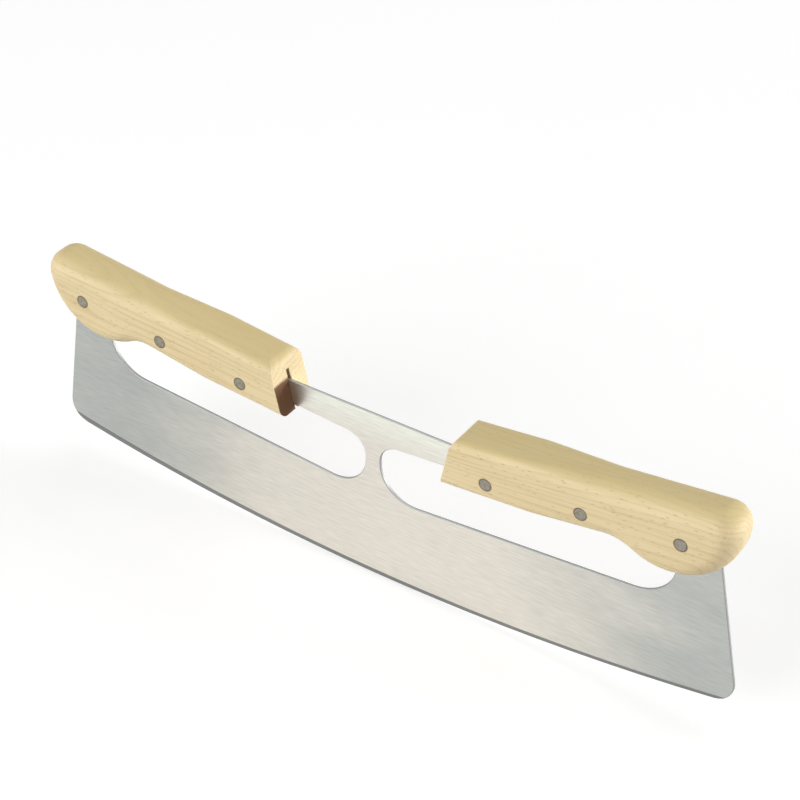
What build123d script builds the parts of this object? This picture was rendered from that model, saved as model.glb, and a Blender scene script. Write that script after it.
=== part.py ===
from build123d import *
from math import cos, radians, sin, sqrt, tan
import os

# A rocking knife: one sheet of stainless steel with a long curved cutting edge, two finger openings and a
# bar across the top, and a wooden handle over each end of the bar. Each handle is one piece of wood, slotted
# from below for the sheet and held by three rivets, each of a male and a female half.
# All lengths are in millimetres. X runs along the knife, Z is up, and the front faces -Y.
# The origin is the lowest point of the cutting edge, half way through the sheet.

# Sheet
sheet_thickness = 1.6
blade_span = 360.0            # between the two lower corners, before they are rounded
edge_radius = 1000.0          # the curve that the knife rocks on
corner_radius = 11.0
end_lean = 10.5               # degrees that each end leans in, going up
web_height = 46.0             # steel under the openings, at the middle
opening_height = 29.3
bar_height = 15.6
neck_width = 7.8              # steel between the two openings
end_width = 32.2              # steel outside each opening, from the lower corner
handle_tilt = 4.5             # degrees that the openings and handles rise towards the ends
inner_low_radius = 17.0
inner_high_radius = 10.0
outer_low_radius = 20.0
outer_high_radius = 5.0
edge_break = 0.3
grind_height = 3.0
edge_land = 0.3               # width left on the cutting edge, so that it is not a razor

# Handles
handle_thickness = 22.0
handle_length = 137.4
handle_height = 24.5          # at the inner end
top_climb = 2.0               # degrees that the top rises more than the underside
handle_overhang = 3.7         # from the lower corner of the sheet in to the end of the handle
underside_cover = 2.0         # wood that reaches below the bar
end_slant = 17.0              # degrees that the inner end leans back
inner_top_radius = 5.0
pommel_radius = 31.4
pommel_drop = 8.3             # how far the swell reaches below the straight underside
pommel_blend_radius = 20.0
crown_radius = 9.5            # the upper corner of the outer end
grip_rounding = 4.5           # round the long edges of the straight part
pommel_rounding = 9.0         # round the edges of the swell
rounding_run = 34.0           # along the handle, where the one grows to the other
slot_depth = 19.0             # from the straight underside up into the wood
slot_clearance = 0.1          # between the sheet and the slot's sides and outer end

# Tang, the part of the sheet that the handle covers
tang_lead = 6.0               # from the inner end of the handle out to where the tang widens
tang_gap = 0.5                # between the tang and the top of the slot, over the middle of the swell
tang_corner_radius = 9.0

# Rivets
rivet_inset = 23.4            # from the inner end of the handle to the first rivet
last_rivet_inset = 23.8       # from the outer end of the handle to the last rivet
rivet_height = 8.6            # above the straight underside
rivet_climb = 1.9             # degrees that the row of rivets rises more than the handle
rivet_count = 3
rivet_head_radius = 3.0
rivet_head_thickness = 2.2
rivet_tube_radius = 2.1
rivet_pin_radius = 1.25
rivet_tip_gap = 0.6           # left at the end of the pin and at the end of the tube
bore_clearance = 0.08         # radial, round the heads and the tube
pin_clearance = 0.02          # radial, between pin and tube

# Cuts run past the surface by this much
overrun = 5.0

# Places worked out from the sizes
half_sheet = sheet_thickness / 2
half_span = blade_span / 2
half_neck = neck_width / 2
handle_face = handle_thickness / 2
corner_height = edge_radius - sqrt(edge_radius ** 2 - half_span ** 2)
bar_underside = web_height + opening_height
bar_top = bar_underside + bar_height
tilt_slope = tan(radians(handle_tilt))
climb_slope = tan(radians(top_climb))
pommel_centre = (handle_length - pommel_radius, pommel_radius - pommel_drop)
blend_reach = pommel_radius + pommel_blend_radius
blend_depth = pommel_centre[1] + pommel_blend_radius
swell_start = pommel_centre[0] - sqrt(blend_reach ** 2 - blend_depth ** 2)
rivet_pitch = (handle_length - rivet_inset - last_rivet_inset) / (rivet_count - 1)


def turned(point, degrees):
    """A point turned about the origin of its plane."""
    angle = radians(degrees)
    along = point[0] * cos(angle) - point[1] * sin(angle)
    up = point[0] * sin(angle) + point[1] * cos(angle)
    return (along, up)


handle_foot = half_span - handle_overhang - pommel_radius - turned(pommel_centre, handle_tilt)[0]
handle_foot_height = bar_underside + handle_foot * tilt_slope - underside_cover


def on_handle(point):
    """A point given along and above the handle's underside, as its place on the knife."""
    along, up = turned(point, handle_tilt)
    return (handle_foot + along, handle_foot_height + up)


def top_height(along):
    """How high the handle's top lies above its underside."""
    return handle_height + along * climb_slope


def rivet_places():
    """The rivets' centres, from the inner end out."""
    places = []
    for number in range(rivet_count):
        along, up = turned((number * rivet_pitch, 0), rivet_climb)
        places.append(on_handle((rivet_inset + along, rivet_height + up)))
    return places


def meeting(first, first_slope, second, second_lean):
    """Where a line of a given rise per run meets one that moves inwards as it climbs."""
    climb = first[1] - second[1] + first_slope * (second[0] - first[0])
    height = climb / (1 + first_slope * second_lean)
    return (second[0] - second_lean * height, second[1] + height)


def rounded(face, corner, radius):
    """The face with the one corner at the given place rounded."""
    vertex = face.vertices().sort_by_distance(Vector(corner[0], corner[1]))[0]
    return fillet(vertex, radius)


def mirrored(points):
    """The same points on the left of the knife, in the opposite order."""
    return [(-along, up) for along, up in reversed(points)]


def sheet_outline():
    """The outer shape of the sheet, in the plane of the sheet."""
    lower_corner = (half_span, corner_height)
    bend = (handle_foot + tang_lead, bar_top)
    crest = on_handle((pommel_centre[0], slot_depth - tang_gap))
    tang_slope = (crest[1] - bend[1]) / (crest[0] - bend[0])
    tang_corner = meeting(bend, tang_slope, lower_corner, tan(radians(end_lean)))
    right = [lower_corner, tang_corner, bend]
    left = mirrored(right)
    edge = ThreePointArc(left[-1], (0, 0), right[0])
    face = make_face(edge + Polyline(*right, *left))
    for sign in (1, -1):
        face = rounded(face, (sign * half_span, corner_height), corner_radius)
        face = rounded(face, (sign * tang_corner[0], tang_corner[1]), tang_corner_radius)
    return face


def opening_outline():
    """The right finger opening, in the plane of the sheet."""
    inner = half_neck
    outer = half_span - end_width
    low_inner = (inner, web_height + inner * tilt_slope)
    low_outer = (outer, web_height + outer * tilt_slope)
    high_outer = (outer, bar_underside + outer * tilt_slope)
    high_inner = (inner, bar_underside + inner * tilt_slope)
    face = make_face(Polyline(low_inner, low_outer, high_outer, high_inner, close=True))
    face = rounded(face, low_inner, inner_low_radius)
    face = rounded(face, low_outer, outer_low_radius)
    face = rounded(face, high_outer, outer_high_radius)
    face = rounded(face, high_inner, inner_high_radius)
    return face


def through(face, thickness):
    """A flat face of the knife's plane made as thick as given, half to the front and half to the back."""
    return extrude(Plane.XZ * face, thickness / 2, both=True)


def grind():
    """What the grinding wheel takes from the front and the back of the cutting edge."""
    land = edge_land / 2
    side = half_sheet + overrun
    section = make_face(Polyline(
        (half_sheet, grind_height), (land, 0), (land, -overrun), (side, -overrun), (side, grind_height),
        close=True))
    section += mirror(section, Plane.YZ)
    rocking_axis = Axis((0, 0, edge_radius), (0, 1, 0))
    return revolve(Plane.YZ * section, rocking_axis, 360)


def rod(radius, start, end):
    """A round bar across the knife, on the Y axis, from one depth to another."""
    return Plane.XZ.offset(-end) * extrude(Circle(radius), end - start)


def at_place(shape, place):
    """The shape moved along and up to a rivet's place."""
    return Pos(place[0], 0, place[1]) * shape


def blade():
    """The steel sheet with its openings, broken edges, ground cutting edge and rivet holes."""
    opening = opening_outline()
    face = sheet_outline() - opening - mirror(opening, Plane.YZ)
    sheet = through(face, sheet_thickness)
    flats = sheet.faces().filter_by(Plane.XZ)
    sheet = chamfer(flats.edges(), edge_break)
    sheet -= grind()
    hole = rod(rivet_tube_radius + bore_clearance, -half_sheet - overrun, half_sheet + overrun)
    for place in rivet_places():
        sheet -= at_place(hole, place)
        sheet -= at_place(hole, (-place[0], place[1]))
    return sheet


def grip_outline():
    """The side view of the handle's straight inner part."""
    end = swell_start - rounding_run
    top = meeting((0, handle_height), climb_slope, (0, 0), -tan(radians(end_slant)))
    face = make_face(Polyline((0, 0), (end, 0), (end, top_height(end)), top, close=True))
    return rounded(face, top, inner_top_radius)


def pommel_outline():
    """The side view of the handle's round outer part, from where the underside starts to swell."""
    centre_along, centre_up = pommel_centre
    blend_share = pommel_blend_radius / blend_reach
    touch = (swell_start + (centre_along - swell_start) * blend_share,
             blend_depth * blend_share - pommel_blend_radius)
    lift = top_height(centre_along) - centre_up
    stretch = 1 + climb_slope ** 2
    reach = sqrt(pommel_radius ** 2 * stretch - lift ** 2) - lift * climb_slope
    crown_along = centre_along + reach / stretch
    crown = (crown_along, top_height(crown_along))
    tip = (centre_along + pommel_radius, centre_up)
    outline = TangentArc((swell_start, 0), touch, tangent=(1, 0))
    outline += ThreePointArc(touch, tip, crown)
    outline += Polyline(crown, (swell_start, top_height(swell_start)), (swell_start, 0))
    return rounded(make_face(outline), crown, crown_radius)


def rounded_wood(outline, rounding, cut):
    """A side view made as thick as half a handle, with its outer edges rounded but for the one at the cut.

    The cut is the first or the last of the edges along the handle."""
    wood = Plane.XZ * extrude(outline, -handle_face)
    outer = wood.faces().sort_by(Axis.Y)[-1]
    edges = outer.edges().sort_by(Axis.X)
    edges.pop(cut)
    return fillet(edges, rounding)


def grip():
    """Half of the straight inner part, cut from a longer bar, so that its end keeps sharp edges."""
    start = -grip_rounding - overrun
    end = swell_start - rounding_run
    bar = make_face(Polyline(
        (start, 0), (end, 0), (end, top_height(end)), (start, top_height(start)), close=True))
    return rounded_wood(bar, grip_rounding, -1) & Plane.XZ * extrude(grip_outline(), -handle_face)


def slot_outline():
    """The side view of the slot: open below and at the inner end, and closed above and at the outer end."""
    outer = (half_span + slot_clearance, corner_height)
    inner = on_handle((-overrun, slot_depth))
    corner = meeting(inner, tilt_slope, outer, tan(radians(end_lean)))
    face = make_face(Polyline(inner, corner, outer, (inner[0], corner_height), close=True))
    return rounded(face, corner, tang_corner_radius)


def handle():
    """The right handle, with its slot and its stepped rivet bores."""
    inner = grip()
    pommel = rounded_wood(pommel_outline(), pommel_rounding, 0)
    inner_section = inner.faces().sort_by(Axis.X)[-1]
    pommel_section = pommel.faces().sort_by(Axis.X)[0]
    half = inner + loft([inner_section, pommel_section], ruled=True) + pommel
    whole = half + mirror(half, Plane.XZ)
    wood = Pos(handle_foot, 0, handle_foot_height) * Rot(0, -handle_tilt, 0) * whole
    wood -= through(slot_outline(), sheet_thickness + 2 * slot_clearance)
    tube_bore = rod(rivet_tube_radius + bore_clearance, -handle_face - overrun, handle_face + overrun)
    head_seat = handle_face - rivet_head_thickness
    head_bore = rod(rivet_head_radius + bore_clearance, head_seat, handle_face + overrun)
    for place in rivet_places():
        wood -= at_place(tube_bore, place)
        wood -= at_place(head_bore, place)
        wood -= at_place(mirror(head_bore, Plane.XZ), place)
    return wood


def rivet_female():
    """The back half of a rivet: a head with a tube that reaches almost to the front head."""
    seat = handle_face - rivet_head_thickness
    head = rod(rivet_head_radius, seat, handle_face)
    tube = rod(rivet_tube_radius, rivet_tip_gap - seat, seat)
    bore = rod(rivet_pin_radius + pin_clearance, -seat - overrun, seat)
    return head + tube - bore


def rivet_male():
    """The front half of a rivet: a head with a pin that fills the tube."""
    seat = handle_face - rivet_head_thickness
    head = rod(rivet_head_radius, -handle_face, -seat)
    pin = rod(rivet_pin_radius, -seat, seat - rivet_tip_gap)
    return head + pin


os.makedirs("parts", exist_ok=True)

nodes = {"blade": blade()}
nodes["right_handle"] = handle()
nodes["left_handle"] = mirror(nodes["right_handle"], Plane.YZ)
rivet_names = ("inner", "middle", "outer")
for name, place in zip(rivet_names, rivet_places()):
    for side, sign in (("right", 1), ("left", -1)):
        spot = (sign * place[0], place[1])
        nodes[f"{side}_{name}_rivet_male"] = at_place(rivet_male(), spot)
        nodes[f"{side}_{name}_rivet_female"] = at_place(rivet_female(), spot)

for name, shape in nodes.items():
    export_step(shape, f"parts/{name}.step")
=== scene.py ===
from math import pi, radians, tan

import bpy
from bpy.props import FloatProperty, FloatVectorProperty, PointerProperty
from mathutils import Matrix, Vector


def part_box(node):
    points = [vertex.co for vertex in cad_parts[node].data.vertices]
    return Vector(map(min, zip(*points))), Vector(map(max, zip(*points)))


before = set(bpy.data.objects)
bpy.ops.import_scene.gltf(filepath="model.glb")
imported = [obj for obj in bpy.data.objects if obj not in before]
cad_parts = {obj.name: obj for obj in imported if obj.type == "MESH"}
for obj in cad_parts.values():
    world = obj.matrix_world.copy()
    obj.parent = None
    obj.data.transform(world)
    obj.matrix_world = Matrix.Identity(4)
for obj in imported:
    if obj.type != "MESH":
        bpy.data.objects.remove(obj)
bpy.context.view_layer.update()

bl_info = {
    "name": "Rocking Pizza Knife",
    "version": (1, 0, 0),
    "blender": (4, 5, 0),
    "location": "3D View > Sidebar > Knife",
    "description": "Finishes the steel, wood and rivets of a rocking pizza knife and lights it in a studio",
    "category": "Object",
}

# The knife's frame is in metres, and the patterns of its materials are worked out in millimetres.
MM_PER_M = 1000.0
SIDES = {"right": 1, "left": -1}
RIVETS = ("inner", "middle", "outer")
ALONG, ACROSS, UP = range(3)
SEEN_BY = ("Camera", "Glossy", "Transmission")
BLACK, WHITE = (0, 0, 0), (1, 1, 1)

# A Mix node has sockets of one name for several kinds of value, so the ones for colours go by number.
MIX_FACTOR, MIX_FIRST, MIX_SECOND, MIX_RESULT = 0, 6, 7, 2

# How long the marks on the steel are, along, across and up the sheet, in millimetres.
HAIR = (60, 9, 0.22)
DASH = (9, 9, 0.9)
PATCH = (60, 9, 22)
STROKE = (0.2, 2, 8)
SCUFF = (70, 9, 0.16)

# How each set of scuffs is turned from the length of the sheet.
SCUFF_TURNS = (radians(17), radians(-31))

# How long the marks in the wood are, along and across its grain, in millimetres.
DRIFT = (140, 22, 22)
CLOUD = (55, 14, 14)
FIBRE = (28, 0.5, 0.5)
PORE = (6, 0.9, 0.9)

# How long the marks on the rivets are, and how far apart the rings from the lathe, in millimetres.
SANDING = (5, 5, 0.12)
TARNISH = (1.6, 1.6, 1.6)
LATHE_RING = 0.24

# How deep the marks go, in millimetres.
STEEL_RELIEF = 0.006
WOOD_RELIEF = 0.05
RIVET_RELIEF = 0.01

# Where the pith of the tree ran, out from the sheet and up, and how far the rings drift, in millimetres.
PITH_OUT, PITH_UP = 46, 20
RING_DRIFT = 20

# Over what height the lighter steel of the bar fades in, and how wide the dirt in a joint is, in
# millimetres.
LIGHTER_FADE = 22
JOINT_DIRT = 0.5

# How far the edge of the painted shadow on the end grain blurs, wanders and frays, in millimetres.
SHADOW_BLUR = 1.0
SHADOW_WANDER = 3.0
SHADOW_RAGGED = 2.0

# The middle of a noise, and the two values of its pattern between which each mark fades in or out.
NOISE_MIDDLE = 0.5
SCUFF_LIMITS = (0.70, 0.78)
END_SHADE_LIMITS = (0.3, 0.9)
GROUND_SHADE_LIMITS = (0.9, 1.0)
CUT_LIMITS = (0.75, 0.95)
LATE_WOOD_LIMITS = (0.45, 0.93)
RING_END_LIMITS = (0.94, 1.0)
TONE_LIMITS = (-0.2, 0.75)
PORE_LIMITS = (0.10, 0.20)
TOP_SHADE_LIMITS = (0.35, 0.97)
END_GRAIN_LIMITS = (0.6, 0.9)
RIM_SHADE_LIMITS = (0.8, 1.0)
TARNISH_LIMITS = (0.35, 0.85)

# About how much of the colour below it each finish or painted shade hides where it is fullest.
COVER = {"end_shade": 0.95, "cut": 0.95, "pores": 0.5, "top_shade_and_wear": 0.7, "end_shadow": 0.97, "dirt": 0.6}

# Where each lamp stands from the knife, how wide it is in metres, and about how bright it makes a white
# card that faces it.
LAMPS = {
    "front": {"towards": (-0.35, -0.85, 0.40), "span": 2.4, "level": 0.85},
    "back": {"towards": (0.88, 0.45, 0.12), "span": 1.2, "level": 1.10},
    "top": {"towards": (0.10, 0.25, 1.00), "span": 2.4, "level": 0.35},
}


def rivet_head(side, place):
    """The middle and the radius of a rivet's head, in millimetres."""
    low, high = (corner * MM_PER_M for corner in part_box(f"{side}_{place}_rivet_male"))
    return (low + high) / 2, (high.x - low.x) / 2


class Value:
    """One output of a node. Python's operators on it add the Math nodes that do the same."""

    def __init__(self, shader, socket):
        self.shader = shader
        self.socket = socket

    def __add__(self, other):
        return self.shader.math("ADD", self, other)

    def __sub__(self, other):
        return self.shader.math("SUBTRACT", self, other)

    def __rsub__(self, other):
        return self.shader.math("SUBTRACT", other, self)

    def __mul__(self, other):
        return self.shader.math("MULTIPLY", self, other)

    def __truediv__(self, other):
        return self.shader.math("DIVIDE", self, other)

    def __abs__(self):
        return self.shader.math("ABSOLUTE", self)

    __radd__ = __add__
    __rmul__ = __mul__


class Shader:
    """A material, or the world, that is built up node by node."""

    def __init__(self, holder, ending="OutputMaterial"):
        holder.use_nodes = True
        self.holder = holder
        self.ending = ending
        self.tree = holder.node_tree
        self.tree.nodes.clear()

    def node(self, kind, settings=None, inputs=None, output=0):
        """Adds a node, makes its settings, fills its sockets with values or links, and gives one output."""
        made = self.tree.nodes.new("ShaderNode" + kind)
        for name, setting in (settings or {}).items():
            setattr(made, name, setting)
        for name, value in (inputs or {}).items():
            if isinstance(value, Value):
                self.tree.links.new(value.socket, made.inputs[name])
            else:
                made.inputs[name].default_value = value
        return Value(self, made.outputs[output]) if made.outputs else None

    def math(self, operation, *values):
        return self.node("Math", {"operation": operation}, dict(enumerate(values)))

    def vector(self, operation, *values, output=0):
        return self.node("VectorMath", {"operation": operation}, dict(enumerate(values)), output)

    def largest(self, values):
        """The largest of several values."""
        found, *others = values
        for other in others:
            found = self.math("MAXIMUM", found, other)
        return found

    def ramp(self, value, low, high):
        """A smooth step, from 0 where the value is low to 1 where it is high."""
        return self.node("MapRange", {"interpolation_type": "SMOOTHSTEP"},
                         {"Value": value, "From Min": low, "From Max": high})

    def blend(self, factor, first, second):
        """The first colour where the factor is 0, going over to the second where it is 1."""
        first, second = (c if isinstance(c, Value) else (*c, 1) for c in (first, second))
        inputs = {MIX_FACTOR: factor, MIX_FIRST: first, MIX_SECOND: second}
        return self.node("Mix", {"data_type": "RGBA"}, inputs, output=MIX_RESULT)

    def place(self, turn=0.0):
        """Where a point of the knife is, in millimetres, turned about the axis across the sheet."""
        found = self.node("TexCoord", output="Object")
        scale = (MM_PER_M,) * 3
        return self.node("Mapping", inputs={"Vector": found, "Rotation": (0, turn, 0), "Scale": scale})

    def part(self, vector, axis):
        """The part of a vector along one axis."""
        return self.node("SeparateXYZ", inputs={"Vector": vector}, output=axis)

    def distance(self, place, axes, point):
        """How far a place is from a point, in the plane of the given axes."""
        flat = self.vector("MULTIPLY", place, axes)
        return self.vector("DISTANCE", flat, point, output="Value")

    def noise(self, place, lengths, shift=(0, 0, 0), detail=2.0):
        """Noise, from 0 to 1, whose lumps have the given lengths. The shift sets like noises apart."""
        where = self.vector("MULTIPLY_ADD", place, tuple(1 / length for length in lengths), shift)
        return self.node("TexNoise", inputs={"Vector": where, "Scale": 1.0, "Detail": detail})

    def specks(self, place, lengths, shift=(0, 0, 0)):
        """How far a point is from the nearest of many scattered specks of the given lengths."""
        where = self.vector("MULTIPLY_ADD", place, tuple(1 / length for length in lengths), shift)
        return self.node("TexVoronoi", inputs={"Vector": where, "Scale": 1.0})

    def bump(self, height, depth):
        """A bumpy normal: a height of 1 stands the depth, in millimetres, proud of 0."""
        return self.node("Bump", inputs={"Height": height, "Distance": depth / MM_PER_M, "Strength": 1.0})

    def seen(self):
        """1 for rays that come from the camera, a mirror or glass, and 0 for the rays that light things."""
        return self.largest([self.node("LightPath", output=f"Is {kind} Ray") for kind in SEEN_BY])

    def finish(self, surface):
        """The material or the world, with that surface."""
        self.node(self.ending, inputs={"Surface": surface})
        return self.holder


def new_material(name):
    return Shader(bpy.data.materials.new(name))


class KnifeBladeSettings(bpy.types.PropertyGroup):
    """The finish of the steel sheet."""
    # The steel's colour where no painted shade darkens it, so it is brightest at the middle.
    steel: FloatVectorProperty(
        name="Steel", description="Colour of the satin steel, where it is polished by use",
        subtype="COLOR", default=(0.80, 0.76, 0.685))
    # This colour makes the sheet lighter from the given height up, over the bar.
    lighter_steel: FloatVectorProperty(
        name="Rubbed steel", description="Colour of the bar between the handles", subtype="COLOR",
        default=(0.89, 0.89, 0.80))
    # Painted shade: this colour darkens the sheet towards both ends, where its reflection is darker.
    end_shade_steel: FloatVectorProperty(
        name="Dull steel", description="Colour of the duller steel at the ends", subtype="COLOR",
        default=(0.49, 0.51, 0.49))
    cut_steel: FloatVectorProperty(
        name="Cut steel", description="Colour of the cut edges all round the sheet", subtype="COLOR",
        default=(0.30, 0.31, 0.30))
    # Partly the ground edge's own finish and partly painted shade, the darker reflection of the shadow
    # under the blade.
    ground_and_shaded_steel: FloatVectorProperty(
        name="Ground steel", description="Colour of the ground cutting edge", subtype="COLOR",
        default=(0.17, 0.175, 0.17))
    roughness: FloatProperty(name="Roughness", description="Roughness of the satin finish", default=0.36)
    brightest_middle: FloatProperty(
        name="Polish middle", description="How far to the right the steel is brightest",
        subtype="DISTANCE", default=0.012)
    # The height from which the sheet is lighter.
    lighter_height: FloatProperty(
        name="Rubbed height", description="Height from which the bar is rubbed bright",
        subtype="DISTANCE", default=0.070)
    edge_radius: FloatProperty(
        name="Edge radius", description="Radius of the curve that the knife rocks on", subtype="DISTANCE",
        default=1.0)
    grind_height: FloatProperty(
        name="Grind height", description="Height of the ground cutting edge at its middle",
        subtype="DISTANCE", default=0.003)
    # The taper makes the darkened band grow higher to the left than the ground bevel itself.
    grind_taper: FloatProperty(
        name="Grind taper", description="How much higher the ground edge gets for each length to the left",
        default=0.005)


class KnifeHandleSettings(bpy.types.PropertyGroup):
    """The finish of the wooden handles."""
    pale_wood: FloatVectorProperty(
        name="Pale wood", description="Colour of the early wood",
        subtype="COLOR", default=(0.87, 0.715, 0.43))
    dark_wood: FloatVectorProperty(
        name="Dark wood", description="Colour of the late wood",
        subtype="COLOR", default=(0.68, 0.51, 0.26))
    # Painted shade: this colour darkens the faces that point up.
    shaded_top_wood: FloatVectorProperty(
        name="Worn wood", description="Colour of the top, which is worn by use", subtype="COLOR",
        default=(0.62, 0.50, 0.23))
    # Painted shadow: this colour darkens the end grain below the bar's top, in front of the sheet.
    shadowed_end_wood: FloatVectorProperty(
        name="Stained wood", description="Colour of the end grain that has soaked up water and oil",
        subtype="COLOR", default=(0.13, 0.04, 0.004))
    pore: FloatVectorProperty(
        name="Pore", description="Colour of the pores and of dirt in the joints", subtype="COLOR",
        default=(0.30, 0.19, 0.09))
    tilt: FloatProperty(
        name="Tilt", description="How much the handles rise towards their outer ends", subtype="ANGLE",
        default=radians(4.5))
    ring_width: FloatProperty(
        name="Ring width", description="Width of a growth ring", subtype="DISTANCE", default=0.0026)
    slot_height: FloatProperty(
        name="Slot height", description="Height of the slot's top, before the handles' tilt",
        subtype="DISTANCE", default=0.092)
    sheet_reach: FloatProperty(
        name="Sheet reach", description="Where the line of the sheet's end meets the floor",
        subtype="DISTANCE", default=0.183)
    sheet_lean: FloatProperty(
        name="Sheet lean", description="How much the sheet's end leans in, going up", subtype="ANGLE",
        default=radians(10.5))
    # The top of the painted shadow on the end grain.
    shadow_height: FloatProperty(
        name="Stain height", description="Height up to which the end grain is stained",
        subtype="DISTANCE", default=0.092)


class KnifeRivetSettings(bpy.types.PropertyGroup):
    """The finish of the rivets."""
    metal: FloatVectorProperty(
        name="Metal", description="Colour of the rivet heads",
        subtype="COLOR", default=(0.33, 0.31, 0.25))
    # This colour serves the tarnished patches and the painted shade at the rim.
    tarnish_and_rim_shade: FloatVectorProperty(
        name="Tarnish", description="Colour of the tarnished patches",
        subtype="COLOR", default=(0.15, 0.13, 0.10))


class KnifeStageSettings(bpy.types.PropertyGroup):
    """The floor, the lamps and the camera."""
    floor_span: FloatProperty(
        name="Floor span", description="Width of the floor", subtype="DISTANCE", default=12.0)
    floor_colour: FloatVectorProperty(
        name="Floor colour", description="Colour of the matt floor",
        subtype="COLOR", default=(0.55, 0.55, 0.55))
    floor_near: FloatProperty(
        name="Floor near", description="How far from the knife the floor starts to go over to plain white",
        subtype="DISTANCE", default=0.4)
    floor_far: FloatProperty(
        name="Floor far", description="How far from the knife the floor is plain white",
        subtype="DISTANCE", default=1.4)
    floor_glow: FloatProperty(
        name="Floor glow", description="Light that the floor shows to the camera and in reflections",
        default=0.56)
    ambient: FloatProperty(
        name="Ambient", description="Strength of the light from all round", default=0.15)
    lamp_distance: FloatProperty(
        name="Lamp distance", description="How far the lamps stand from the knife",
        subtype="DISTANCE", default=3.0)
    camera_place: FloatVectorProperty(
        name="Camera place", description="Where the camera stands", subtype="XYZ",
        default=(0.41245, -0.57950, 0.62560))
    camera_turn: FloatVectorProperty(
        name="Camera turn", description="How the camera is turned, about X, Y and Z", subtype="EULER",
        default=(radians(53.398), radians(0.432), radians(34.181)))
    lens: FloatProperty(name="Lens", description="Focal length in millimetres", default=93.69)


def satin_steel(settings):
    """Satin steel: fine scratches and short dashes along it, a few scuffs, painted shade at the ends and
    dark edges.
    """
    shader = new_material("satin_steel")
    place = shader.place()
    hair = shader.noise(place, HAIR, detail=3)
    dash = shader.noise(place, DASH, shift=(7, 0, 3), detail=3)
    patch = shader.noise(place, PATCH, shift=(2, 5, 1))
    scuffs = [shader.noise(shader.place(turn), SCUFF, shift=(turn, 4, 9)) for turn in SCUFF_TURNS]
    scuff = shader.ramp(shader.largest(scuffs), *SCUFF_LIMITS)
    grain = (hair - NOISE_MIDDLE) * 0.4 + (dash - NOISE_MIDDLE)

    # The sheet is lighter from the given height up, over the bar.
    lighter_from = settings.lighter_height * MM_PER_M
    lighter = shader.ramp(shader.part(place, UP), lighter_from, lighter_from + LIGHTER_FADE)
    colour = shader.blend(lighter, settings.steel, settings.lighter_steel)
    half_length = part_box("blade")[1].x * MM_PER_M
    # Painted shade: the steel darkens towards both ends, where its reflection is darker, mottled by patches
    # and scuffs.
    out = abs(shader.part(place, ALONG) - settings.brightest_middle * MM_PER_M) / half_length
    end_shade = shader.ramp(out + (patch - NOISE_MIDDLE) * 0.3, *END_SHADE_LIMITS)
    end_shade_and_mottle = end_shade * COVER["end_shade"] + (patch - NOISE_MIDDLE) * 0.35 + scuff * 0.15
    colour = shader.blend(end_shade_and_mottle, colour, settings.end_shade_steel)
    colour = shader.blend(0.1 + grain * 0.35, colour, BLACK)

    # The ground edge: its strokes are real, its darkness is partly painted shade, and the band grows higher
    # to the left.
    radius = settings.edge_radius * MM_PER_M
    grind = settings.grind_height * MM_PER_M - shader.part(place, ALONG) * settings.grind_taper
    from_edge = radius - shader.distance(place, (1, 0, 1), (0, 0, radius))
    ground_and_shade = 1 - shader.ramp(from_edge / grind, *GROUND_SHADE_LIMITS)
    strokes = shader.noise(place, STROKE, shift=(1, 1, 1), detail=3)
    colour = shader.blend(ground_and_shade * (0.8 + strokes * 0.2), colour, settings.ground_and_shaded_steel)

    facing = abs(shader.part(shader.node("TexCoord", output="Normal"), ACROSS))
    cut = 1 - shader.ramp(facing, *CUT_LIMITS)
    colour = shader.blend(cut * COVER["cut"], colour, settings.cut_steel)

    height = hair * 0.5 + dash * 0.25 + strokes * ground_and_shade * 0.5 - scuff * 0.5
    return shader.finish(shader.node("BsdfPrincipled", inputs={
        "Base Color": colour,
        "Metallic": 1.0,
        "Roughness": settings.roughness + grain * 0.1 + cut * 0.2,
        "Normal": shader.bump(height, STEEL_RELIEF),
    }))


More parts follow.
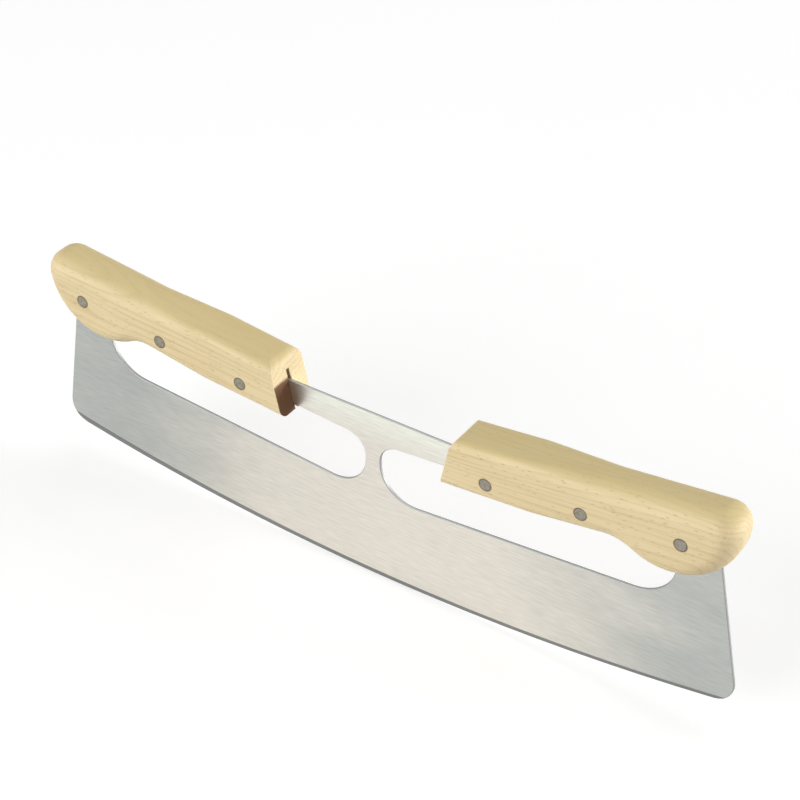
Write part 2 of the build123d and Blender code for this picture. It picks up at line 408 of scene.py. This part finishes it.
def pale_hardwood(settings, side):
    """Pale oiled hardwood whose grain runs along one handle, with painted shade on top and a painted shadow
    at the inner end.
    """
    shader = new_material(f"{side}_wood")
    sign = SIDES[side]
    turn = sign * settings.tilt
    place = shader.place()
    board = shader.place(turn)
    shift = (3.7 * sign, 11.3, 5.1 * sign)

    drift = shader.noise(board, DRIFT, shift, detail=1)
    from_pith = shader.distance(board, (0, 1, 1), (0, -PITH_OUT * sign, PITH_UP))
    ring = shader.math("FRACT", (from_pith + drift * RING_DRIFT) / (settings.ring_width * MM_PER_M))
    late = shader.ramp(ring, *LATE_WOOD_LIMITS) * (1 - shader.ramp(ring, *RING_END_LIMITS))
    fibre = shader.noise(board, FIBRE, shift, detail=3)
    cloud = shader.noise(board, CLOUD, shift)
    tone = late * 0.24 + (fibre - NOISE_MIDDLE) * 0.75 + (cloud - 0.45) * 0.7
    colour = shader.blend(shader.ramp(tone, *TONE_LIMITS), settings.pale_wood, settings.dark_wood)

    pores = 1 - shader.ramp(shader.specks(board, PORE, shift), *PORE_LIMITS)
    colour = shader.blend(pores * COVER["pores"], colour, settings.pore)

    normal = shader.node("TexCoord", output="Normal")
    # Painted shade on the top: faces that point up are darkened, and the same mask makes them a little
    # smoother.
    top_shade_and_wear = shader.ramp(shader.part(normal, UP), *TOP_SHADE_LIMITS)
    colour = shader.blend(top_shade_and_wear * COVER["top_shade_and_wear"], colour, settings.shaded_top_wood)

    # Painted shadow: the inner end grain, below the given height and in front of the sheet, is darkened to
    # deep brown with a wandering edge.
    turned = {"Vector": normal, "Rotation": (0, turn, 0)}
    grain_way = shader.node("Mapping", {"vector_type": "NORMAL"}, turned)
    end = shader.ramp(shader.part(grain_way, ALONG) * -sign, *END_GRAIN_LIMITS)
    wobble = (cloud - NOISE_MIDDLE) * SHADOW_WANDER + (fibre - NOISE_MIDDLE) * SHADOW_RAGGED
    shadow_top = settings.shadow_height * MM_PER_M
    above = shader.ramp(shader.part(place, UP) + wobble, shadow_top - SHADOW_BLUR, shadow_top + SHADOW_BLUR)
    sheet_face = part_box("blade")[1].y * MM_PER_M
    behind = shader.ramp(shader.part(place, ACROSS), sheet_face, sheet_face + SHADOW_BLUR)
    end_shadow = end * (1 - above) * (1 - behind)
    colour = shader.blend(end_shadow * COVER["end_shadow"], colour, settings.shadowed_end_wood)

    slot_top = settings.slot_height * MM_PER_M
    seam = 1 - shader.ramp(abs(shader.part(place, ACROSS)), sheet_face, sheet_face + JOINT_DIRT)
    seam = seam * (1 - shader.ramp(shader.part(board, UP), slot_top, slot_top + JOINT_DIRT))
    outer_end = settings.sheet_reach * MM_PER_M
    reach = abs(shader.part(place, ALONG)) + shader.part(place, UP) * tan(settings.sheet_lean)
    seam = seam * (1 - shader.ramp(reach, outer_end, outer_end + JOINT_DIRT))
    joints = [seam]
    for rivet in RIVETS:
        middle, head_radius = rivet_head(side, rivet)
        away = shader.distance(place, (1, 0, 1), (middle.x, 0, middle.z))
        joints.append(1 - shader.ramp(away, head_radius, head_radius + JOINT_DIRT))
    colour = shader.blend(shader.largest(joints) * COVER["dirt"], colour, settings.pore)

    height = fibre * 0.35 + late * 0.2 - pores
    return shader.finish(shader.node("BsdfPrincipled", inputs={
        "Base Color": colour,
        "Roughness": 0.5 + fibre * 0.1 + pores * 0.15 - top_shade_and_wear * 0.06,
        "Specular IOR Level": 0.35,
        "Normal": shader.bump(height, WOOD_RELIEF),
    }))


def rivet_metal(settings, side, rivet):
    """Dull rivet metal, sanded flush, with rings from the lathe, fine scratches, tarnished patches and
    painted shade at the rim.
    """
    shader = new_material(f"{side}_{rivet}_rivet_metal")
    middle, head_radius = rivet_head(side, rivet)
    place = shader.place()
    away = shader.distance(place, (1, 0, 1), (middle.x, 0, middle.z))
    lathe = shader.math("SINE", away * (2 * pi / LATHE_RING)) * 0.5 + 0.5
    sanding = shader.noise(place, SANDING)
    patch = shader.noise(place, TARNISH, detail=3)
    # Painted shade at the rim of the head, on top of the tarnished patches.
    rim_shade = shader.ramp(away / head_radius, *RIM_SHADE_LIMITS)
    tarnish_and_rim_shade = shader.ramp(patch * 0.7 + sanding * 0.3 + rim_shade * 0.45, *TARNISH_LIMITS)
    return shader.finish(shader.node("BsdfPrincipled", inputs={
        "Base Color": shader.blend(tarnish_and_rim_shade, settings.metal, settings.tarnish_and_rim_shade),
        "Metallic": 1.0,
        "Roughness": 0.42 + tarnish_and_rim_shade * 0.15,
        "Normal": shader.bump(sanding * 0.5 + lathe * 0.1, RIVET_RELIEF),
    }))


def dress(node, material):
    """Gives a node of the frame its finish."""
    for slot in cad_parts[node].material_slots:
        slot.material = material


class KNIFE_OT_blade(bpy.types.Operator):
    """Finishes the steel sheet"""
    bl_idname = "knife.blade"
    bl_label = "Finish the Blade"

    def execute(self, context):
        dress("blade", satin_steel(context.scene.knife_blade))
        return {"FINISHED"}


class KNIFE_OT_handles(bpy.types.Operator):
    """Finishes the two wooden handles"""
    bl_idname = "knife.handles"
    bl_label = "Finish the Handles"

    def execute(self, context):
        for side in SIDES:
            dress(f"{side}_handle", pale_hardwood(context.scene.knife_handles, side))
        return {"FINISHED"}


class KNIFE_OT_rivets(bpy.types.Operator):
    """Finishes the two halves of each rivet"""
    bl_idname = "knife.rivets"
    bl_label = "Finish the Rivets"

    def execute(self, context):
        for side in SIDES:
            for rivet in RIVETS:
                metal = rivet_metal(context.scene.knife_rivets, side, rivet)
                for half in ("male", "female"):
                    dress(f"{side}_{rivet}_rivet_{half}", metal)
        return {"FINISHED"}


def white_floor(settings):
    """A matt pale floor that shows shadows, glows a little to the camera and fades to plain white."""
    shader = new_material("white_floor")
    away = shader.vector("LENGTH", shader.node("TexCoord", output="Object"), output="Value")
    far = shader.ramp(away, settings.floor_near, settings.floor_far)
    matt = shader.node("BsdfDiffuse", inputs={"Color": shader.blend(far, settings.floor_colour, BLACK)})
    glow = shader.blend(far, (settings.floor_glow,) * 3, WHITE)
    shown = shader.node("Emission", inputs={"Color": shader.blend(shader.seen(), BLACK, glow)})
    return shader.finish(shader.node("AddShader", inputs={0: matt, 1: shown}))


def white_world(settings):
    """Soft light from all round that is plain white to the camera and in reflections."""
    shader = Shader(bpy.data.worlds.new("studio"), "OutputWorld")
    colour = shader.blend(shader.seen(), (settings.ambient,) * 3, WHITE)
    return shader.finish(shader.node("Background", inputs={"Color": colour}))


def softbox(name, towards, span, level, distance):
    """A square lamp that stands away from the knife in one direction and faces it."""
    lamp = bpy.data.lights.new(name, "AREA")
    lamp.shape = "SQUARE"
    lamp.size = span
    lamp.energy = level * (pi * distance) ** 2
    holder = bpy.data.objects.new(name, lamp)
    direction = Vector(towards).normalized()
    holder.location = direction * distance
    holder.rotation_euler = direction.to_track_quat("Z", "Y").to_euler()
    bpy.context.scene.collection.objects.link(holder)


class KNIFE_OT_stage(bpy.types.Operator):
    """Makes the floor, the lamps and the camera"""
    bl_idname = "knife.stage"
    bl_label = "Make the Stage"

    def execute(self, context):
        settings = context.scene.knife_stage
        bpy.ops.object.select_all(action="DESELECT")
        bpy.ops.mesh.primitive_plane_add(size=settings.floor_span, location=(0, 0, 0))
        floor = context.active_object
        floor.name = "floor"
        floor.data.materials.append(white_floor(settings))

        context.scene.world = white_world(settings)
        for name, lamp in LAMPS.items():
            softbox(f"{name}_softbox", distance=settings.lamp_distance, **lamp)

        camera = bpy.data.cameras.new("camera")
        camera.lens = settings.lens
        holder = bpy.data.objects.new("camera", camera)
        holder.location = settings.camera_place
        holder.rotation_euler = settings.camera_turn
        context.scene.collection.objects.link(holder)
        context.scene.camera = holder
        context.scene.view_settings.view_transform = "Standard"
        return {"FINISHED"}


class KNIFE_PT_panel(bpy.types.Panel):
    """Lists the steps and their settings"""
    bl_label = "Knife"
    bl_idname = "KNIFE_PT_panel"
    bl_space_type = "VIEW_3D"
    bl_region_type = "UI"
    bl_category = "Knife"

    def draw(self, context):
        for group, operator in STEPS.items():
            box = self.layout.box()
            settings = getattr(context.scene, group)
            for name in settings.__annotations__:
                box.prop(settings, name)
            box.operator(operator.bl_idname)


GROUPS = {
    "knife_blade": KnifeBladeSettings,
    "knife_handles": KnifeHandleSettings,
    "knife_rivets": KnifeRivetSettings,
    "knife_stage": KnifeStageSettings,
}
STEPS = {
    "knife_blade": KNIFE_OT_blade,
    "knife_handles": KNIFE_OT_handles,
    "knife_rivets": KNIFE_OT_rivets,
    "knife_stage": KNIFE_OT_stage,
}


def register():
    for made in (*GROUPS.values(), *STEPS.values(), KNIFE_PT_panel):
        bpy.utils.register_class(made)
    for name, group in GROUPS.items():
        setattr(bpy.types.Scene, name, PointerProperty(type=group))


def unregister():
    for name in GROUPS:
        delattr(bpy.types.Scene, name)
    for made in (KNIFE_PT_panel, *STEPS.values(), *GROUPS.values()):
        bpy.utils.unregister_class(made)


def main():
    register()
    bpy.ops.knife.blade()
    bpy.ops.knife.handles()
    bpy.ops.knife.rivets()
    bpy.ops.knife.stage()


if __name__ == "__main__":
    main()
